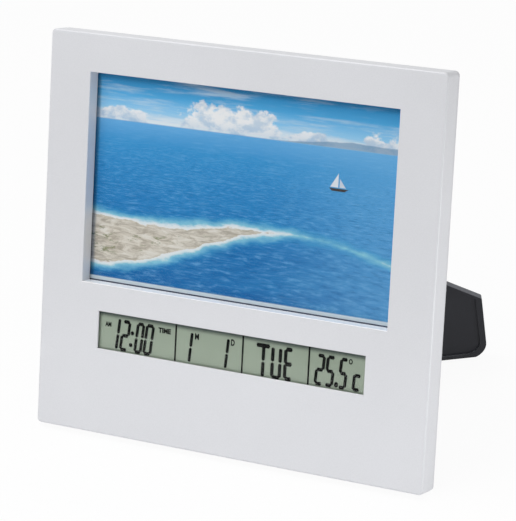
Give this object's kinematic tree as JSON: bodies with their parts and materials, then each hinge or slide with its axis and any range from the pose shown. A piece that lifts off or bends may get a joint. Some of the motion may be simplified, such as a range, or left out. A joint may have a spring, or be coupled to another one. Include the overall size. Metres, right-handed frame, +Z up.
{
  "type": "photo frame clock",
  "caption": "Leaning picture frame clock: a landscape picture window over a strip display for time, date and temperature, with a folding easel leg behind.",
  "frame": {"origin": "middle of the flat land, on the table, that the case's lower back edge rests on", "axes": "+X to the viewer's right, +Y to the back, +Z up; the face leans back 18 degrees"},
  "size_m": [0.19, 0.123, 0.1676],
  "materials": {
    "frame_plastic": "fine satin silver-grey moulding",
    "cover_plastic": "fine matte silver-grey moulding",
    "leg_plastic": "matte charcoal moulding",
    "door_plastic": "matte charcoal moulding",
    "key_rubber": "soft matte dark keys",
    "clear_glazing": "clear",
    "clear_lens": "clear",
    "lcd_glass": "grey-green liquid crystal cell",
    "reflector_foil": "matte foil",
    "print_paper": "gloss photographic print",
    "backing_card": "grey-brown pressed board",
    "holder_plastic": "natural white moulding",
    "zebra_rubber": "banded conductive rubber",
    "board_laminate": "green solder-resist laminate",
    "chip_resin": "black resin blob",
    "tinned_steel": "plain",
    "plated_steel": "nickel plated",
    "screw_steel": "zinc plated",
    "spring_steel": "nickel-plated leaf",
    "sensor_resin": "black bead",
    "switch_plastic": "black body",
    "sounder_plastic": "black case",
    "cell_jacket": "printed steel jacket",
    "wire_red": "insulated lead",
    "wire_black": "insulated lead"
  },
  "bodies": {
    "clock_body": {"front_frame": "frame_plastic", "rear_cover": "cover_plastic", "case_screws": "screw_steel", "board_screws": "screw_steel", "photo_glazing": "clear_glazing", "photo_print": "print_paper", "backing_board": "backing_card", "display_lens": "clear_lens", "display_panel": "lcd_glass", "display_reflector": "reflector_foil", "strip_connector": "zebra_rubber", "display_holder": "holder_plastic", "circuit_board": "board_laminate", "clock_chip": "chip_resin", "quartz_crystal": "tinned_steel", "temperature_sensor": "sensor_resin", "key_switches": "switch_plastic", "sounder": "sounder_plastic", "sounder_leads": "wire_black", "battery_cell_lower": "cell_jacket", "battery_cell_upper": "cell_jacket", "link_contact": "spring_steel", "positive_contact": "spring_steel", "negative_contact": "spring_steel", "battery_lead_positive": "wire_red", "battery_lead_negative": "wire_black"},
    "photo_door": {"photo_door": "door_plastic", "hinge_bracket": "plated_steel", "hinge_pin": "plated_steel", "bracket_screws": "screw_steel"},
    "stand_leg": {"stand_leg": "leg_plastic"},
    "battery_hatch": {"battery_hatch": "cover_plastic"},
    "mode_key": {"mode_key": "key_rubber"},
    "set_key": {"set_key": "key_rubber"},
    "up_key": {"up_key": "key_rubber"},
    "down_key": {"down_key": "key_rubber"},
    "degrees_key": {"degrees_key": "key_rubber"}
  },
  "joints": [
    {"name": "photo_door_slide", "type": "slide", "parent": "clock_body", "child": "photo_door", "axis": [0, 0.309, 0.9511], "range_m": [0, 0.1]},
    {"name": "stand_leg_hinge", "type": "hinge", "parent": "photo_door", "child": "stand_leg", "pos_m": [-0.002, 0.03988, 0.09662], "axis": [0.7218, 0.2139, 0.6583], "range_deg": [-45.7, 0]},
    {"name": "battery_hatch_slide", "type": "slide", "parent": "clock_body", "child": "battery_hatch", "axis": [-1, 0, 0], "range_m": [0, 0.05]},
    {"name": "mode_key_press", "type": "slide", "parent": "clock_body", "child": "mode_key", "axis": [0, -0.9511, 0.309], "range_m": [0, 0.0005], "stiffness_N_per_m": 400, "springref_m": -0.003},
    {"name": "set_key_press", "type": "slide", "parent": "clock_body", "child": "set_key", "axis": [0, -0.9511, 0.309], "range_m": [0, 0.0005], "stiffness_N_per_m": 400, "springref_m": -0.003},
    {"name": "up_key_press", "type": "slide", "parent": "clock_body", "child": "up_key", "axis": [0, -0.9511, 0.309], "range_m": [0, 0.0005], "stiffness_N_per_m": 400, "springref_m": -0.003},
    {"name": "down_key_press", "type": "slide", "parent": "clock_body", "child": "down_key", "axis": [0, -0.9511, 0.309], "range_m": [0, 0.0005], "stiffness_N_per_m": 400, "springref_m": -0.003},
    {"name": "degrees_key_press", "type": "slide", "parent": "clock_body", "child": "degrees_key", "axis": [0, -0.9511, 0.309], "range_m": [0, 0.0005], "stiffness_N_per_m": 400, "springref_m": -0.003}
  ]
}
